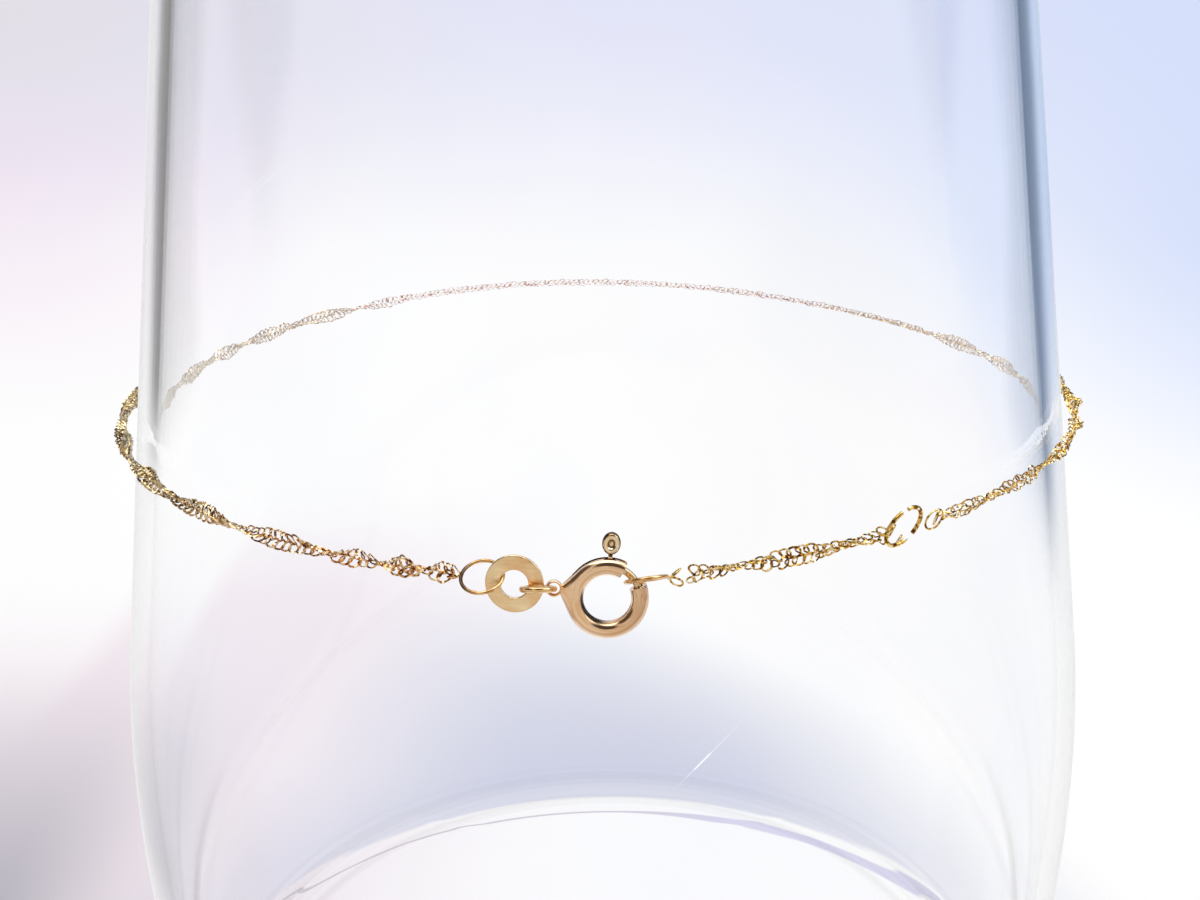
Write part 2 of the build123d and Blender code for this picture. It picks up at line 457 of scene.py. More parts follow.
boltFinish = {
    "tone": (1.0, 0.88, 0.62), "secondTone": (0.84, 0.62, 0.36), "toneScale": 2600.0,
    "markScale": 9000.0, "smooth": 0.03, "rough": 0.09, "markStrength": 0.3, "markDepth": 0.002 * mm,
    # painted shade: the bolt darker towards its right end
    "paintedSideFrom": 1.0 * mm, "paintedSideTo": 1.6 * mm, "dim": 0.6, "paintedSideTone": (0.60, 0.44, 0.24),
    # on the knob: painted highlights in the middle and in a pale ring, painted shade in the groove and round the edge
    "rings": [(-0.2, -0.1, 0.10, 0.20, (1.0, 0.98, 0.90)), (0.18, 0.27, 0.34, 0.42, (0.13, 0.09, 0.04)),
              (0.46, 0.56, 0.64, 0.74, (1.0, 0.93, 0.76)), (0.80, 0.90, 1.1, 1.2, (0.10, 0.06, 0.03))],
    "limits": ((2.0, 1.5), (2.0, 1.5)),
}
wireFinish = {
    "tone": (0.95, 0.70, 0.38), "secondTone": (0.66, 0.38, 0.14), "toneScale": 1900.0,
    "markScale": 9000.0, "smooth": 0.05, "rough": 0.14, "markStrength": 0.2, "markDepth": 0.002 * mm,
    # painted shade: the jump ring nearly black at its left side
    "paintedSideFrom": -7.9 * mm, "paintedSideTo": -8.6 * mm, "dim": 0.9, "paintedSideTone": (0.06, 0.03, 0.02),
}
flatFinish = {
    "tone": (1.0, 0.86, 0.58), "secondTone": (0.88, 0.60, 0.33), "toneScale": 500.0,
    "markScale": 7000.0, "smooth": 0.16, "rough": 0.26, "markStrength": 1.0, "markDepth": 0.012 * mm,
    # painted reflection: a yellow-olive rim towards the right edge
    "paintedSideFrom": -5.0 * mm, "paintedSideTo": -3.6 * mm, "dim": 0.7, "paintedSideTone": (0.80, 0.56, 0.18),
    "bands": 0.6, "fine": 0.35,
}
goldClasp = goldMaterial("polishedGold", claspFinish)
goldChain = goldMaterial("chainGold", wireFinish)
goldWire = goldMaterial("wireGold", wireFinish)
goldBolt = goldMaterial("boltGold", boltFinish)
goldFlat = goldMaterial("brushedGold", flatFinish)


# the flat ring is brushed sideways
def brush(material, finish):
    tree = material.node_tree
    tone = [node for node in tree.nodes if node.type == "GROUP" and node.node_tree == toneGroup][0]
    grain = groupNode(tree, grainGroup).outputs
    tree.links.new(grain["Grain"], firstNode(tree, "BUMP").inputs["Height"])
    bands = product(tree, grain["Bands"], finish["bands"])
    banded = mixNode(tree, bands, tone.outputs["Color"], finish["secondTone"])
    setBase(material, mixNode(tree, product(tree, grain["Grain"], finish["fine"]), banded, finish["tone"]))
    shine = rangeNode(tree, grain["Grain"], 0.0, 1.0, finish["smooth"], finish["rough"])
    tree.links.new(shine, firstNode(tree, "BSDF_PRINCIPLED").inputs["Roughness"])


brush(goldFlat, flatFinish)

# the chain's tones: amber at the right, olive at the left, paler and redder at the back
chainTones = {
    "scale": 3400.0,
    # where each change starts and is full
    "toLeft": (0.004, -0.010), "toFarLeft": (-0.018, -0.034), "toBack": (-0.002, 0.018), "toMiddle": (0.031, 0.022),
    # each holds a dark painted shade, a middle tone and a bright painted highlight
    "right": ((0.24, 0.10, 0.01), (0.88, 0.59, 0.13), (1.0, 0.96, 0.74)),
    "left": ((0.22, 0.07, 0.02), (0.86, 0.54, 0.24), (1.0, 0.94, 0.68)),
    "farLeft": ((0.42, 0.32, 0.16), (0.62, 0.49, 0.27), (0.84, 0.70, 0.45)),
    "turning": ((0.36, 0.22, 0.12), (0.70, 0.54, 0.36), (0.95, 0.84, 0.66)),
    "back": ((0.55, 0.24, 0.20), (1.0, 0.92, 0.89), (1.0, 0.99, 0.98)),
}


def colourChain(material):
    look = chainTones
    tree = material.node_tree
    place = splitPlace(tree, objectPlace(tree))
    toLeft = rangeNode(tree, place["X"], *look["toLeft"])
    toFarLeft = rangeNode(tree, place["X"], *look["toFarLeft"])
    toMiddle = rangeNode(tree, size(tree, place["X"]), *look["toMiddle"])
    # only through the glass does the back of the chain look pale
    path = lightPath(tree)
    toBack = product(tree, rangeNode(tree, place["Y"], *look["toBack"]), path["Is Transmission Ray"])
    speckle = groupNode(tree, highlightShadeGroup, Scale=look["scale"])
    for index, label in enumerate(("Dark", "Middle", "Bright")):
        near = mixNode(tree, toLeft, look["right"][index], look["left"][index])
        near = mixNode(tree, toFarLeft, near, look["farLeft"][index])
        behind = mixNode(tree, toMiddle, look["turning"][index], look["back"][index])
        tree.links.new(mixNode(tree, toBack, near, behind), speckle.inputs[label])
    setBase(material, speckle.outputs["Color"])


colourChain(goldChain)

glassShape = {
    "height": 113.0, "wall": 1.5, "bellyRadius": 42.45, "bellyHeight": 33.0, "lowerCurve": 140.0, "upperCurve": 105.0,
    "footCurve": 2.5, "floor": 2.2, "floorCurve": 4.0,
    "cornerSteps": 14, "lowerSteps": 16, "upperSteps": 10, "lipSteps": 8, "around": 256, "weld": 1e-5,
    "hold": 0.25,    # a short run beside each curve, which keeps the flat stretches flat
}


def arcOn(bm, start, centre, angle, steps):
    return partTurn(bm, [start], -angle, steps, (centre[0], 0, centre[1]), (0, 1, 0))[0]


def lineOn(bm, start, place):
    end = bm.verts.new(place)
    bm.edges.new((start, end))
    return end


def glassSide(bm, start, inset, bottom, corner):
    shape = glassShape
    lean = loopShape["wallLean"]
    low = shape["lowerCurve"] - inset
    lowX, highX = shape["bellyRadius"] - shape["lowerCurve"], shape["bellyRadius"] - shape["upperCurve"]
    fall = shape["bellyHeight"] - bottom - corner
    cornerX = lowX + math.sqrt((low - corner) ** 2 - fall ** 2)
    ray = math.atan(fall / (cornerX - lowX))
    vert = lineOn(bm, start, (cornerX - shape["hold"], 0, bottom))
    vert = lineOn(bm, vert, (cornerX, 0, bottom))
    vert = arcOn(bm, vert, (cornerX, bottom + corner), math.pi / 2 - ray, shape["cornerSteps"])
    vert = arcOn(bm, vert, (lowX, shape["bellyHeight"]), ray, shape["lowerSteps"])
    vert = arcOn(bm, vert, (highX, shape["bellyHeight"]), lean, shape["upperSteps"])
    begin, reach = vert.co.copy(), shape["height"] - vert.co.z
    for rise in (shape["hold"], reach - shape["hold"], reach):
        vert = lineOn(bm, vert, (begin.x - rise * math.tan(lean), 0, begin.z + rise))
    return vert


def makeGlass(material):
    shape = glassShape
    bm = bmesh.new()
    outerTop = glassSide(bm, bm.verts.new((0, 0, 0)), 0, 0, shape["footCurve"])
    floorMiddle = bm.verts.new((0, 0, shape["floor"]))
    innerTop = glassSide(bm, floorMiddle, shape["wall"], shape["floor"], shape["floorCurve"])
    lipX = (outerTop.co.x + innerTop.co.x) / 2
    lipEnd = arcOn(bm, outerTop, (lipX, shape["height"]), math.pi, shape["lipSteps"])
    lipEnd.co = innerTop.co
    bmesh.ops.remove_doubles(bm, verts=bm.verts, dist=shape["weld"])
    fullTurn(bm, shape["around"])
    bmesh.ops.remove_doubles(bm, verts=bm.verts, dist=shape["weld"])
    faceOutwards(bm)
    moved(bm, Matrix.Scale(mm, 4))
    return mainPiece("clear_tumbler", bm, material, "anklet", "clear_glass", "glass_stand")


# faint waves in the glass, a little tint and one fine scratch, which glows faintly as a painted glint
glassFinish = {
    "waveScale": 70.0, "waveDetail": 1.0, "waveStrength": 0.06, "waveDepth": 0.05 * mm,
    "tint": (0.985, 0.99, 1.0), "tintRange": (0.3, 0.7), "index": 1.5,
    "scratchStart": (4.27 * mm, 50.58 * mm), "scratchEnd": (9.41 * mm, 55.45 * mm), "scratchWidth": 0.06 * mm,
    "scratchCore": (0.27, 0.33, 0.48, 0.56), "scratchEnds": 0.3, "scratchGlow": 0.45,
    "scratchOut": (0.0395, 0.0402), "scratchFront": (0.0, -0.01),    # it is on the outer side, at the front
}


def glassMaterial():
    finish = glassFinish
    material, tree, shader = newMaterial("clearGlass")
    shader.inputs["Roughness"].default_value = 0.0
    shader.inputs["IOR"].default_value = finish["index"]
    shader.inputs["Transmission Weight"].default_value = 1.0
    coord = objectPlace(tree)
    waves = noiseNode(tree, coord, finish["waveScale"], finish["waveDetail"])
    tinted = mixNode(tree, rangeNode(tree, waves, *finish["tintRange"]), white, finish["tint"])
    tree.links.new(tinted, shader.inputs["Base Color"])
    addBump(tree, shader, waves, finish["waveStrength"], finish["waveDepth"])
    # the scratch's painted glint: near its line, between its ends, thinning out towards them
    place = splitPlace(tree, coord)
    (startX, startZ), (endX, endZ) = finish["scratchStart"], finish["scratchEnd"]
    length = math.hypot(endX - startX, endZ - startZ)
    wayX, wayZ = (endX - startX) / length, (endZ - startZ) / length
    offX, offZ = difference(tree, place["X"], startX), difference(tree, place["Z"], startZ)
    along = total(tree, product(tree, offX, wayX), product(tree, offZ, wayZ))
    beside = size(tree, difference(tree, product(tree, offX, wayZ), product(tree, offZ, wayX)))
    low, full, lower, high = (part * length for part in finish["scratchCore"])
    core = within(tree, (along, (low, full)), (along, (high, lower)))
    line = within(tree, (beside, (finish["scratchWidth"], finish["scratchWidth"] / 3)),
                  (along, (0.0, low)), (along, (length, high)),
                  (rootSum(tree, place["X"], place["Y"]), finish["scratchOut"]), (place["Y"], finish["scratchFront"]))
    mark = product(tree, line, larger(tree, core, finish["scratchEnds"]))
    tree.links.new(mixNode(tree, mark, black, white), shader.inputs["Emission Color"])
    shader.inputs["Emission Strength"].default_value = finish["scratchGlow"]
    return material


makeGlass(glassMaterial())
print("glass ready")


# chain of small slanted links, lying as a twisted ribbon
linkShape = {
    "halfLength": 0.44, "halfWidth": 0.30, "bow": 0.08, "wire": 0.145, "pitch": 0.285,
    "tilt": 6.0, "roll": 18.0, "yaw": -36.0, "off": 0.27, "steps": 14, "sides": 4,
}
chainRun = {
    "runs": [(8.3, 27.3), (34.7, 347.0), (258.0, 322.0)], "seed": 7,
    # how far single links roll and swing, in degrees, and how much they differ in size
    "roll": 16.0, "swing": 13.0, "sizes": (0.84, 1.12),
    # places round the loop and the ribbon's turn there, in degrees
    "twist": [(6.2, -10), (12.5, 65), (23.5, 243), (33, 420), (42.5, 594), (105, 1550), (122, 1752), (212, 1766),
              (221.9, 1906), (233.4, 2088), (245.9, 2272), (255.3, 2457), (268, 2649), (282, 2858), (298, 3085),
              (310, 3286), (322, 3477), (333.7, 3662), (339.6, 3844), (343.6, 4024), (347.3, 4200)],
    # and how wide it is there
    "widths": [(0, 1.0), (31, 1.0), (35, 0.78), (60, 0.80), (80, 1.0), (118, 0.95), (128, 0.75), (212, 0.75),
               (225, 1.0), (360, 1.0)],
    # how many times more the links roll and swing there
    "loose": [(0, 2.2), (27, 2.4), (34, 3.3), (58, 2.9), (75, 1.3), (325, 1.0), (347, 1.7)],
    # links that stand out of the ribbon: place round the loop, rise, half length and width, wire, swing, roll, gaps
    "singleSteps": 40, "singleSides": 10,
    "singles": [(29.55, 0.22, 1.56, 1.06, 0.30, 29, 5, [(60, 80), (264, 284)]), (28.0, 0.10, 0.50, 0.30, 0.16, 50, 35),
                (29.0, -0.66, 0.36, 0.22, 0.16, 50, 40), (33.4, 0.02, 0.80, 0.60, 0.15, 20, 0),
                (33.7, 0.12, 0.50, 0.26, 0.14, 62, 30), (6.7, -0.42, 0.46, 0.24, 0.14, -34, 15),
                (6.5, 0.12, 0.48, 0.30, 0.15, 38, 72), (8.0, -0.42, 0.27, 0.24, 0.13, 10, 20),
                (341.8, 0.10, 0.55, 0.52, 0.16, 20, 12), (342.5, -0.28, 0.52, 0.40, 0.16, -10, 25)],
}


# the table's value at an angle
def between(table, angle):
    for (low, lowValue), (high, highValue) in zip(table, table[1:]):
        if angle <= high or high == table[-1][0]:
            return lowValue + (highValue - lowValue) * (angle - low) / (high - low)


# a length along the loop, in millimetres, and the angle it ends at
def alongAt(angle):
    return math.radians(angle) * loopShape["radius"] / mm


def angleAt(along):
    return math.degrees(along * mm / loopShape["radius"])


# where a point of the straight ribbon comes to lie
def ribbonPoint(along, across, out, twisted=True):
    angle = angleAt(along)
    turn, width = 0.0, 1.0
    if twisted:
        turn, width = math.radians(between(chainRun["twist"], angle)), between(chainRun["widths"], angle)
    side = math.radians(angle)
    up, outward = Vector((0, 0, 1)), Vector((math.sin(side), -math.cos(side), 0))
    acrossWay = up * math.cos(turn) + outward * math.sin(turn)
    outWay = outward * math.cos(turn) - up * math.sin(turn)
    return loopPoint(angle) + (acrossWay * across + outWay * out) * width * mm


# an oval link, whole or with gaps between these angles
def ovalWire(halfLength, halfWidth, bow, wire, steps, sides, gaps=()):
    if not gaps:
        bm = ringMesh(1, wire, steps, sides)
    else:
        bm = bmesh.new()
        for (_, low), (high, _) in zip(gaps, gaps[1:] + [(gaps[0][0] + 360, None)]):
            bm.from_mesh(meshFrom(arcTube(1, wire, low, high, steps // 2, sides), "linkPattern"))
    for vert in bm.verts:
        around = math.atan2(vert.co.y, vert.co.x)
        beside = math.hypot(vert.co.x, vert.co.y) - 1
        way = Vector((math.cos(around) / halfLength, math.sin(around) / halfWidth, 0)).normalized()
        centre = Vector((halfLength * math.cos(around), halfWidth * math.sin(around), bow * math.cos(2 * around)))
        vert.co = centre + way * beside + Vector((0, 0, vert.co.z))
    faceOutwards(bm)
    return bm


def linkMesh(sign):
    shape = linkShape
    bm = ovalWire(shape["halfLength"], shape["halfWidth"], shape["bow"], shape["wire"], shape["steps"], shape["sides"])
    moved(bm, turned(shape["tilt"], "Y") @ turned(shape["yaw"] * sign) @ turned(shape["roll"] * sign, "X"))
    return meshFrom(bm, "linkPattern")


def addLinks(bm, patterns, start, end, dice):
    count = int((end - start) / linkShape["pitch"]) + 1
    pitch = (end - start) / (count - 1)
    roll, swing = chainRun["roll"], chainRun["swing"]
    for index in range(count):
        before = len(bm.verts)
        bm.from_mesh(patterns[index % 2])
        bm.verts.ensure_lookup_table()
        along, side = start + index * pitch, 1 - 2 * (index % 2)
        loose = between(chainRun["loose"], angleAt(along))
        shake = (turned(dice.uniform(-roll, roll) * loose, "X") @ turned(dice.uniform(-swing, swing) * loose)
                 @ Matrix.Scale(dice.uniform(*chainRun["sizes"]), 4))
        place = Matrix.Translation((along, linkShape["off"] * side, 0))
        bmesh.ops.transform(bm, matrix=place @ shake, verts=bm.verts[before:])


def addSingle(bm, angle, rise, halfLength, halfWidth, wire, swing, roll, gaps=()):
    link = ovalWire(halfLength, halfWidth, 0.0, wire, chainRun["singleSteps"], chainRun["singleSides"], gaps)
    moved(link, Matrix.Translation((alongAt(angle), rise, 0)) @ turned(swing) @ turned(roll, "X"))
    bm.from_mesh(meshFrom(link, "singleLink"))


def makeChain(material):
    dice = random.Random(chainRun["seed"])
    patterns = [linkMesh(1), linkMesh(-1)]
    bm = bmesh.new()
    for start, end in chainRun["runs"]:
        addLinks(bm, patterns, alongAt(start), alongAt(end), dice)
    ribbonVerts = len(bm.verts)
    for single in chainRun["singles"]:
        addSingle(bm, *single)
    for index, vert in enumerate(bm.verts):
        vert.co = ribbonPoint(*vert.co, twisted=index < ribbonVerts)
    return mainPiece("chain_links", bm, material, "anklet", "gold_chain", "chain")


chain = makeChain(goldChain)
print("chain ready, faces:", len(chain.data.polygons))


# spring-ring clasp, in its own plane; angles in degrees from the right, the other way round than a clock
claspShape = {
    "ringRadius": 2.04, "tube": 1.12, "bore": 0.64, "gapLow": 20.0, "gapHigh": 60.0, "boreMargin": 2.0,
    "steps": 240, "sides": 48, "boreSides": 24,
    "slotWidth": 0.38, "slotEnd": 144.0, "slotMargin": 4.0, "slotSteps": 40,
    "eyeAngle": 168.5, "eyeDistance": 3.35, "eyeHole": 0.36, "eyeRadius": 0.55, "eyeThickness": 0.4,
    "eyeSteps": 48, "eyeSides": 16, "eyeDrill": 2.0,
    "lugSpread": 33.5,     # degrees from the eye to where the lug leaves the tube
    "lugBlunt": 0.06,      # how near the eye its flanks stop, in radians
    "lugPower": 1.5,       # how much more the outside is drawn out than the middle
    "lugThin": 0.55,       # how much the lug's tip is thinner than the tube
}


# draws the tube's outer side out to two straight flanks that meet at the eye
def drawLug(bm):
    shape = claspShape
    edge = shape["ringRadius"] + shape["tube"] / 2
    spread = math.radians(shape["lugSpread"])
    for vert in bm.verts:
        distance = math.hypot(vert.co.x, vert.co.y)
        angle = math.atan2(vert.co.y, vert.co.x)
        fromEye = abs((angle - math.radians(shape["eyeAngle"]) + math.pi) % (2 * math.pi) - math.pi)
        outness = (distance - shape["ringRadius"]) / (shape["tube"] / 2)
        if fromEye < spread and outness > 0:
            reach = edge / math.cos(spread - max(fromEye, shape["lugBlunt"])) - edge
            grow = 1 + reach * outness ** shape["lugPower"] / distance
            thin = 1 - shape["lugThin"] * outness * (reach / (edge / math.cos(spread) - edge))
            vert.co = Vector((vert.co.x * grow, vert.co.y * grow, vert.co.z * thin))


def makeClaspRing(material):
    shape = claspShape
    low, high, radius = shape["gapLow"], shape["gapHigh"], shape["ringRadius"]
    ring = arcTube(radius, shape["tube"], high, low + 360, shape["steps"], shape["sides"])
    drawLug(ring)
    # eye that holds the link
    toEye = turned(shape["eyeAngle"]) @ Matrix.Translation((shape["eyeDistance"], 0, 0))
    rim = shape["eyeRadius"] - shape["eyeHole"]
    eye = ringMesh((shape["eyeHole"] + shape["eyeRadius"]) / 2, rim, shape["eyeSteps"], shape["eyeSides"])
    moved(eye, toEye @ Matrix.Diagonal((1, 1, shape["eyeThickness"] / rim, 1)))
    ring = combined(ring, eye, "UNION")
    hole = bmesh.new()
    addCylinder(hole, shape["eyeHole"], shape["eyeDrill"], shape["eyeSteps"], toEye)
    ring = combined(ring, hole, "DIFFERENCE")
    bore = arcTube(radius, shape["bore"], high - shape["boreMargin"], low + 360 + shape["boreMargin"],
                   shape["steps"], shape["boreSides"])
    ring = combined(ring, bore, "DIFFERENCE")
    # slot that the knob slides along
    slot = bmesh.new()
    inside, outside, half = radius + shape["bore"] / 4, radius + shape["tube"], shape["slotWidth"] / 2
    corners = [slot.verts.new(place) for place in
               ((inside, 0, -half), (outside, 0, -half), (outside, 0, half), (inside, 0, half))]
    slot.faces.new(corners)
    slotStart = high - shape["slotMargin"]
    moved(slot, turned(slotStart))
    partTurn(slot, slot.faces[:], math.radians(shape["slotEnd"] - slotStart), shape["slotSteps"])
    faceOutwards(slot)
    ring = combined(ring, slot, "DIFFERENCE")
    moved(ring, claspPlane())
    return mainPiece("clasp_body", ring, material, "anklet", "gold_clasp", "clasp_ring", sharp=35)


boltShape = {
    "wire": 0.48, "low": 12.0, "high": 100.0, "steps": 64, "sides": 24, "tipRows": 16,
    "knobAngle": 85.0, "knobDistance": 3.50, "knobWidth": 1.17, "knobLength": 1.46,
    "knobRounding": 0.035, "roundingSteps": 3, "around": 48, "weld": 1e-4,
    "stem": 0.28, "stemSides": 24, "stemOverlap": 0.1,
    # the knob's outline, from the middle of its front round the edge to the middle of its back
    "outline": [(0, 0.21), (0.07, 0.19), (0.12, 0.13), (0.20, 0.14), (0.27, 0.23), (0.34, 0.28), (0.46, 0.252),
                (0.56, 0.14), (0.585, 0), (0.56, -0.14), (0.46, -0.2688), (0.36, -0.28), (0.26, -0.21),
                (0.16, -0.12), (0, -0.10)],
}


def knobMesh():
    shape = boltShape
    knob = bmesh.new()
    outline = [knob.verts.new((across, 0, height)) for across, height in shape["outline"]]
    for first, second in zip(outline, outline[1:]):
        knob.edges.new((first, second))
    bmesh.ops.bevel(knob, geom=outline[1:-1], offset=shape["knobRounding"], affect="VERTICES",
                    segments=shape["roundingSteps"], profile=0.5, material=-1)
    fullTurn(knob, shape["around"])
    bmesh.ops.remove_doubles(knob, verts=knob.verts, dist=shape["weld"])
    faceOutwards(knob)
    bmesh.ops.scale(knob, vec=(1, shape["knobLength"] / shape["knobWidth"], 1), verts=knob.verts)
    bmesh.ops.translate(knob, vec=(0, shape["knobDistance"], 0), verts=knob.verts)
    low, high = claspShape["ringRadius"], shape["knobDistance"] - shape["knobLength"] / 2 + shape["stemOverlap"]
    alongStem = Matrix.Translation((0, (low + high) / 2, 0)) @ turned(90, "X")
    addCylinder(knob, shape["stem"] / 2, high - low, shape["stemSides"], alongStem)
    moved(knob, turned(shape["knobAngle"] - 90))
    return meshFrom(knob, "knobPattern")


def makeBolt(material):
    shape = boltShape
    radius = claspShape["ringRadius"]
    bolt = arcTube(radius, shape["wire"], shape["low"], shape["high"], shape["steps"], shape["sides"])
    bmesh.ops.create_uvsphere(bolt, u_segments=shape["sides"], v_segments=shape["tipRows"], radius=shape["wire"] / 2,
                              matrix=turned(shape["low"]) @ Matrix.Translation((radius, 0, 0)))
    bolt.from_mesh(knobMesh())
    moved(bolt, claspPlane())
    return mainPiece("clasp_lever_bolt", bolt, material, "bolt", "gold_clasp", "clasp_bolt", sharp=50)


# painted light in rings on a round face: painted shade at the grooves and edges there, and painted highlights between
# them
def paintedRingLight(material, face, width, length, finish):
    tree = material.node_tree
    place = vectorNode(tree, "SUBTRACT", objectPlace(tree), 1, face.translation)["Vector"]
    ways = [dotNode(tree, place, Vector(face.col[column][:3]).normalized() / (across * mm / 2))
            for column, across in ((0, width), (1, length))]
    distance = rootSum(tree, *ways)
    inside = within(tree, *zip(ways, finish["limits"]))
    # the colour that the shader has so far
    colour = firstNode(tree, "BSDF_PRINCIPLED").inputs["Base Color"].links[0].from_node.inputs[6].links[0].from_socket
    for low, full, fade, high, tone in finish["rings"]:
        ring = within(tree, (distance, (low, full)), (distance, (high, fade)))
        colour = mixNode(tree, product(tree, inside, ring), colour, tone)
    setBase(material, colour)


knobFace = claspPlane() @ turned(boltShape["knobAngle"] - 90) @ Matrix.Translation((0, boltShape["knobDistance"], 0))
paintedRingLight(goldBolt, knobFace, boltShape["knobWidth"], boltShape["knobLength"], boltFinish)
claspWidth = claspShape["ringRadius"] * 2 + claspShape["tube"]
paintedRingLight(goldClasp, claspPlane(), claspWidth, claspWidth, claspFinish)
makeClaspRing(goldClasp)
makeBolt(goldBolt)
print("clasp ready")


# wire rings beside the clasp: the plane each lies near, its place there, and how it rolls and tilts, in degrees
ringShapes = {
    "bolt_end_ring": {"node": "end_ring", "outside": 2.84, "wire": 0.28, "sides": 20,
                      "plane": claspPlane(), "at": (2.42, 1.28, 0.42), "roll": 8.0, "tilt": 72.0},
    "thick_link": {"node": "clasp_link", "outside": 2.4, "wire": 0.4, "sides": 24,
                   "plane": claspPlane(), "at": (-4.26, 0.67, 0.15), "roll": 0.0, "tilt": 77.0},
    "thin_jump_ring": {"node": "jump_ring", "outside": 2.9, "wire": 0.24, "sides": 20,
                       "plane": sidePlane(-7.34 * mm, 0.50 * mm), "at": (0, 0, 0), "roll": 0.0, "tilt": -57.0},
}
ringSteps = 96
flatShape = {
    "outside": 3.7, "hole": 1.76, "thickness": 0.28, "rounding": 0.10, "roundingSteps": 5, "around": 128,
    "x": -5.34, "drop": 0.84,
}


def makeRings(material):
    for name, shape in ringShapes.items():
        ring = ringMesh((shape["outside"] - shape["wire"]) / 2, shape["wire"], ringSteps, shape["sides"])
        turn = turned(shape["roll"]) @ turned(shape["tilt"], "X")
        moved(ring, shape["plane"] @ Matrix.Translation(shape["at"]) @ turn)
        mainPiece(name, ring, material, "anklet", "gold_rings", shape["node"], sharp=180)


def makeFlatRing(material):
    shape = flatShape
    disc = bmesh.new()
    half = shape["thickness"] / 2
    corners = [disc.verts.new((radius / 2, 0, height)) for radius, height in
               ((shape["hole"], -half), (shape["outside"], -half), (shape["outside"], half), (shape["hole"], half))]
    for corner, following in zip(corners, corners[1:] + corners[:1]):
        disc.edges.new((corner, following))
    bmesh.ops.bevel(disc, geom=disc.verts[:], offset=shape["rounding"], affect="VERTICES",
                    segments=shape["roundingSteps"], profile=0.5, material=-1)
    fullTurn(disc, shape["around"])
    faceOutwards(disc)
    moved(disc, sidePlane(shape["x"] * mm, shape["drop"] * mm))
    mainPiece("flat_washer_ring", disc, material, "anklet", "gold_flat", "flat_ring", sharp=30)


makeRings(goldWire)
makeFlatRing(goldFlat)
print("rings ready")


# The floor's far colours lie in a fan: "side" is how far to the side a place is seen from its point, and "fall" how far
# down. Each pair is where something starts and is full.
floorLook = {
    "radius": 3.0, "drop": 0.05 * mm, "around": 128, "roughness": 0.9,
    "shadow": 0.25, "shadowReach": (0.15, 0.5),    # how much the lamps light it, and where that ends
    "fanDepth": 0.122, "fanHeight": 0.1025, "fanNearest": 0.19,
    "far": (0.76, 0.77, 0.94), "farFall": (0.24, 0.02),
    "left": (0.77, 0.74, 0.80), "leftSide": (0.0, -0.42), "leftFall": (0.22, 0.02),
    "right": (0.66, 0.74, 0.965), "rightSide": (-0.08, 0.52),
    "rightEnd": (0.0, 0.5, 0.26, 0.465), "rightFade": (0.0, 0.27),    # how far down it reaches, further at the side
    "pink": (0.86, 0.68, 0.84), "pinkSide": (-0.15, -0.42, 0.0, 0.4), "pinkFalls": ((0.06, 0.14), (0.34, 0.18)),
}
# dark surroundings at both sides, which only metal and the glass's edges show
darkLook = {
    "passed": (2.2, 2.8),    # through how many surfaces they are seen
    "mirroring": 2.0,    # a mirroring counts as so many
    # how far to the side each is full, how far it ends, how far down it fades, colour
    "bands": [((0.50, 0.78), (1.8, 1.26), (0.52, 0.36), (0.06, 0.10, 0.17)),
              ((-0.52, -0.76), (-2.2, -1.54), (0.42, 0.28), (0.07, 0.065, 0.07))],
}
nearLook = {
    "blush": (0.84, 0.71, 0.79), "blushStrength": 0.66, "blushX": ((0.0, -0.05), (-0.24, -0.12)),
    "blushY": (0.12, 0.05), "blushRise": (-0.082, -0.070, -0.010, 0.035),    # it reaches further back behind the glass
    # the grey corner is a painted shadow beside the glass
    "corner": (0.45, 0.44, 0.50), "cornerX": ((-0.050, -0.072), (-0.20, -0.10)), "cornerY": (0.085, 0.0),
    "front": (0.90, 0.88, 0.90), "frontY": (-0.03, -0.10), "frontX": (0.12, 0.26), "frontFall": (0.38, 0.50),
}
# what metal sees: warm blotches in front, dark under the glass
metalLook = {
    "front": (0.76, 0.67, 0.57), "dim": (0.56, 0.46, 0.37),
    "blotchScale": 5.0, "blotchDetail": 1.0, "blotches": (0.38, 0.62),
    "under": (0.16, 0.12, 0.09), "underReach": (0.055, 0.040),
}
# soft painted shadow round the glass's foot, the pale band painted in it and the thin lilac line, broader at the right,
# painted where the foot's edge shows through the glass
footLook = {
    "shade": (0.58, 0.60, 0.75), "widths": (0.0, 0.05, 54.0 * mm, 46.0 * mm), "depth": 93.0 * mm,
    "shift": (0.043, 0.123, 0.0, 0.024), "reach": (1.16, 0.44), "hardness": 0.75,
    "bare": (0.0365, 0.0395),
    "bandY": -10.3 * mm, "bandEdge": (46.4 * mm, 47.3 * mm), "bandPale": (0.0465, 0.053, 0.74, 1.0),
    "lineY": -15.15 * mm, "line": 48.15 * mm,
    "lineWidth": (0.0, 0.022, 0.18 * mm, 0.9 * mm), "lineEdge": (1.2, 0.7),
    "lineFront": (0.0, 0.01), "lineTurn": (-0.005, 0.02),
    "lineTones": ((0.62, 0.57, 0.64), (0.68, 0.66, 0.85)),
}
# what glass mirrors: white, and blue at the right
hazeLook = {"blue": (0.60, 0.74, 0.98), "side": (0.15, 0.6), "right": (0.08, 0.30), "back": (0.0, 0.1), "nearest": 0.05}


def inverse(tree, value):
    return difference(tree, 1.0, value)


def hazeColour(tree, placeX, placeY):
    look = hazeLook
    side = ratio(tree, placeX, larger(tree, placeY, look["nearest"]))
    blue = within(tree, (side, look["side"]), (placeX, look["right"]), (placeY, look["back"]))
    return mixNode(tree, blue, white, look["blue"])


def mirrored(tree, path):
    return product(tree, path["Is Singular Ray"], inverse(tree, path["Is Transmission Ray"]))


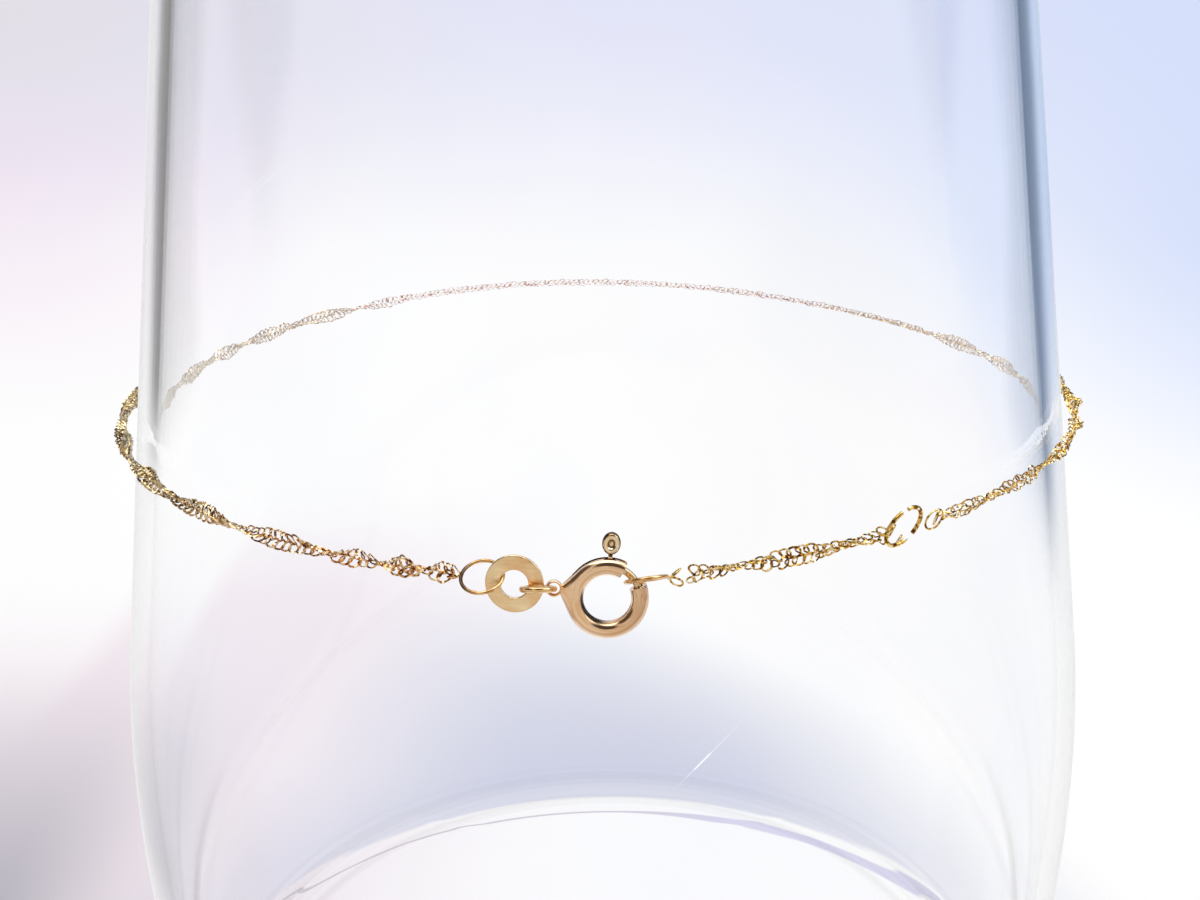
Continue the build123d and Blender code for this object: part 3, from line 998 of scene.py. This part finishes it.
# white that fades to lilac far away, pinkish at the left and blue at the right
def farColour(tree, side, fall):
    look = floorLook
    colour = mixNode(tree, rangeNode(tree, fall, *look["farFall"]), white, look["far"])
    toLeft = within(tree, (side, look["leftSide"]), (fall, look["leftFall"]))
    colour = mixNode(tree, toLeft, colour, look["left"])
    rightEnd = difference(tree, rangeNode(tree, side, *look["rightEnd"]), fall)
    toRight = within(tree, (side, look["rightSide"]), (rightEnd, look["rightFade"]))
    colour = mixNode(tree, toRight, colour, look["right"])
    pinkBand = within(tree, (side, look["pinkSide"]), *((fall, limits) for limits in look["pinkFalls"]))
    return mixNode(tree, pinkBand, colour, look["pink"])


def darkSides(tree, colour, side, fall, path, fromMetal):
    look = darkLook
    passed = total(tree, path["Transmission Depth"], product(tree, path["Glossy Depth"], look["mirroring"]))
    seen = larger(tree, rangeNode(tree, passed, *look["passed"]), fromMetal)
    for start, end, down, tone in look["bands"]:
        band = within(tree, (side, start), (side, end), (fall, down))
        colour = mixNode(tree, product(tree, seen, band), colour, tone)
    return colour


# the blush and the grey corner at the near left; the corner is a painted shadow beside the glass
def nearLeft(tree, colour, placeX, placeY):
    look = nearLook
    behind = difference(tree, placeY, rangeNode(tree, placeX, *look["blushRise"]))
    blush = within(tree, (behind, look["blushY"]), *((placeX, limits) for limits in look["blushX"]))
    colour = mixNode(tree, product(tree, blush, look["blushStrength"]), colour, look["blush"])
    corner = within(tree, (placeY, look["cornerY"]), *((placeX, limits) for limits in look["cornerX"]))
    return mixNode(tree, corner, colour, look["corner"])


# the painted shadow: seen directly, it only leaves out the foot; through the glass it shows the pale band and the
# painted line
def footShade(tree, colour, placeX, placeY, direct):
    look = footLook
    bent = inverse(tree, direct)
    shifted = total(tree, placeX, rangeNode(tree, placeY, *look["shift"]))
    shadeX = ratio(tree, shifted, rangeNode(tree, placeY, *look["widths"]))
    distance = rootSum(tree, shadeX, ratio(tree, placeY, look["depth"]))
    soft = mathNode(tree, "POWER", rangeNode(tree, distance, *look["reach"]), look["hardness"])
    bare = rangeNode(tree, rootSum(tree, placeX, placeY), *look["bare"])
    fromBand = rootSum(tree, placeX, difference(tree, placeY, look["bandY"]))
    band = within(tree, (fromBand, look["bandEdge"]), (fromBand, look["bandPale"]))
    mask = total(tree, product(tree, direct, bare), product(tree, bent, band))
    colour = mixNode(tree, product(tree, soft, mask), colour, look["shade"])
    # the thin painted line where the foot's edge shows through the glass
    fromLine = difference(tree, rootSum(tree, placeX, difference(tree, placeY, look["lineY"])), look["line"])
    offLine = ratio(tree, size(tree, fromLine), rangeNode(tree, placeX, *look["lineWidth"]))
    line = product(tree, bent, within(tree, (offLine, look["lineEdge"]), (placeY, look["lineFront"])))
    return mixNode(tree, line, colour, mixNode(tree, rangeNode(tree, placeX, *look["lineTurn"]), *look["lineTones"]))


def floorColour(tree, placeX, placeY):
    path = lightPath(tree)
    sharp = larger(tree, path["Is Singular Ray"], path["Is Transmission Ray"])
    fromMetal = product(tree, path["Is Glossy Ray"], inverse(tree, sharp))
    depth = larger(tree, total(tree, placeY, floorLook["fanDepth"]), floorLook["fanNearest"])
    side, fall = ratio(tree, placeX, depth), ratio(tree, floorLook["fanHeight"], depth)
    colour = farColour(tree, side, fall)
    colour = darkSides(tree, colour, side, fall, path, fromMetal)
    colour = nearLeft(tree, colour, placeX, placeY)
    colour = footShade(tree, colour, placeX, placeY, path["Is Camera Ray"])
    under = product(tree, fromMetal, rangeNode(tree, rootSum(tree, placeX, placeY), *metalLook["underReach"]))
    colour = mixNode(tree, under, colour, metalLook["under"])
    # the front, far out at the sides too, is paler grey; metal sees it warm
    floorPlace = tree.nodes.new("ShaderNodeCombineXYZ")
    tree.links.new(placeX, floorPlace.inputs["X"])
    tree.links.new(placeY, floorPlace.inputs["Y"])
    blotches = noiseNode(tree, floorPlace.outputs["Vector"], metalLook["blotchScale"], metalLook["blotchDetail"])
    warm = mixNode(tree, rangeNode(tree, blotches, *metalLook["blotches"]), metalLook["front"], metalLook["dim"])
    farOut = within(tree, (size(tree, placeX), nearLook["frontX"]), (fall, nearLook["frontFall"]))
    front = larger(tree, rangeNode(tree, placeY, *nearLook["frontY"]), farOut)
    return mixNode(tree, front, colour, mixNode(tree, fromMetal, nearLook["front"], warm))


def makeFloor():
    look = floorLook
    material, tree, shader = newMaterial("paleFloor")
    place = splitPlace(tree, objectPlace(tree))
    colour = floorColour(tree, place["X"], place["Y"])
    shader.inputs["Roughness"].default_value = look["roughness"]
    shader.inputs["Specular IOR Level"].default_value = 0.0
    tree.links.new(colour, shader.inputs["Base Color"])
    path = lightPath(tree)
    glow = tree.nodes.new("ShaderNodeEmission")
    haze = hazeColour(tree, place["X"], place["Y"])
    tree.links.new(mixNode(tree, mirrored(tree, path), colour, haze), glow.inputs["Color"])
    # the camera sees the object's shadow close by; metal and glass see the floor's plain colour
    shaded = rangeNode(tree, rootSum(tree, place["X"], place["Y"]), *look["shadowReach"], 1 - look["shadow"], 1.0)
    plain = larger(tree, path["Is Glossy Ray"], path["Is Transmission Ray"])
    blend = tree.nodes.new("ShaderNodeMixShader")
    tree.links.new(larger(tree, plain, product(tree, path["Is Camera Ray"], shaded)), blend.inputs[0])
    tree.links.new(shader.outputs["BSDF"], blend.inputs[1])
    tree.links.new(glow.outputs[0], blend.inputs[2])
    tree.links.new(blend.outputs[0], firstNode(tree, "OUTPUT_MATERIAL").inputs["Surface"])
    disc = bmesh.new()
    bmesh.ops.create_circle(disc, cap_ends=True, segments=look["around"], radius=look["radius"],
                            matrix=Matrix.Translation((0, 0, -look["drop"])))
    floor = sceneObject("studio_floor", meshFrom(disc, "studio_floor"))
    floor.data.materials.append(material)


roomLook = {
    "diffuse": (0.62, 0.62, 0.64),
    # direction, inner and outer angle in degrees, colour
    "cards": [
        ((0.0, 0.22, 1.0), 30, 37, (2.3, 2.25, 2.2)),
        ((0.72, -0.1, 0.62), 12, 24, (1.8, 1.75, 1.7)),
        ((0.10, -0.70, 0.70), 18, 28, (0.08, 0.06, 0.05)),
        ((-0.78, -0.25, 0.55), 20, 33, (0.10, 0.075, 0.055)),
        ((0.95, 0.35, 0.05), 8, 26, (0.05, 0.04, 0.035)),
    ],
}


# plain walls in the floor's far colours, with softboxes and dark cards that only the metal shows
def makeRoom():
    world = bpy.data.worlds.new("softRoom")
    bpy.context.scene.world = world
    world.use_nodes = True
    tree = world.node_tree
    tree.nodes.clear()
    out = tree.nodes.new("ShaderNodeOutputWorld")
    light = tree.nodes.new("ShaderNodeBackground")
    tree.links.new(light.outputs[0], out.inputs["Surface"])
    around = tree.nodes.new("ShaderNodeTexCoord").outputs["Generated"]
    place = splitPlace(tree, vectorNode(tree, "SCALE", around, "Scale", floorLook["radius"])["Vector"])
    walls = floorColour(tree, place["X"], place["Y"])
    colour = walls
    for direction, inner, outer, tone in roomLook["cards"]:
        facing = dotNode(tree, around, Vector(direction).normalized())
        card = rangeNode(tree, facing, math.cos(math.radians(outer)), math.cos(math.radians(inner)))
        colour = mixNode(tree, card, colour, tone)
    path = lightPath(tree)
    plain = larger(tree, larger(tree, path["Is Camera Ray"], path["Is Transmission Ray"]), path["Is Singular Ray"])
    haze = hazeColour(tree, place["X"], place["Y"])
    colour = mixNode(tree, mirrored(tree, path), mixNode(tree, plain, colour, walls), haze)
    colour = mixNode(tree, path["Is Diffuse Ray"], colour, roomLook["diffuse"])
    tree.links.new(colour, light.inputs["Color"])


lamps = {
    "topLight": {"place": (0.25, 0.2, 0.7), "width": 0.5, "power": 2.2},
    "sideLight": {"place": (0.6, -0.3, 0.35), "width": 0.4, "power": 0.6},
}


# soft round lamps that face the origin
def makeLamps():
    for name, look in lamps.items():
        data = bpy.data.lights.new(name, "AREA")
        data.shape = "DISK"
        data.size = look["width"]
        data.energy = look["power"]
        lamp = sceneObject(name, data)
        lamp.location = look["place"]
        lamp.rotation_euler = (-Vector(look["place"])).to_track_quat("-Z", "Y").to_euler()
        lamp.visible_glossy = False
        lamp.visible_transmission = False


cameraView = {
    "place": (0.0, -122.0 * mm, 102.5 * mm), "pitch": 19.25, "roll": -0.7, "lens": 43.53, "sensor": 36.0,
    "nearest": 0.005, "farthest": 20.0,
}


def makeCamera():
    data = bpy.data.cameras.new("frontView")
    data.sensor_width = cameraView["sensor"]
    data.lens = cameraView["lens"]
    data.clip_start = cameraView["nearest"]
    data.clip_end = cameraView["farthest"]
    camera = sceneObject("frontView", data)
    aim = turned(90 - cameraView["pitch"], "X") @ turned(cameraView["roll"])
    camera.matrix_world = Matrix.Translation(cameraView["place"]) @ aim
    bpy.context.scene.camera = camera


makeFloor()
makeRoom()
makeLamps()
makeCamera()
bpy.context.scene.view_settings.view_transform = "Standard"
print("room and camera ready")
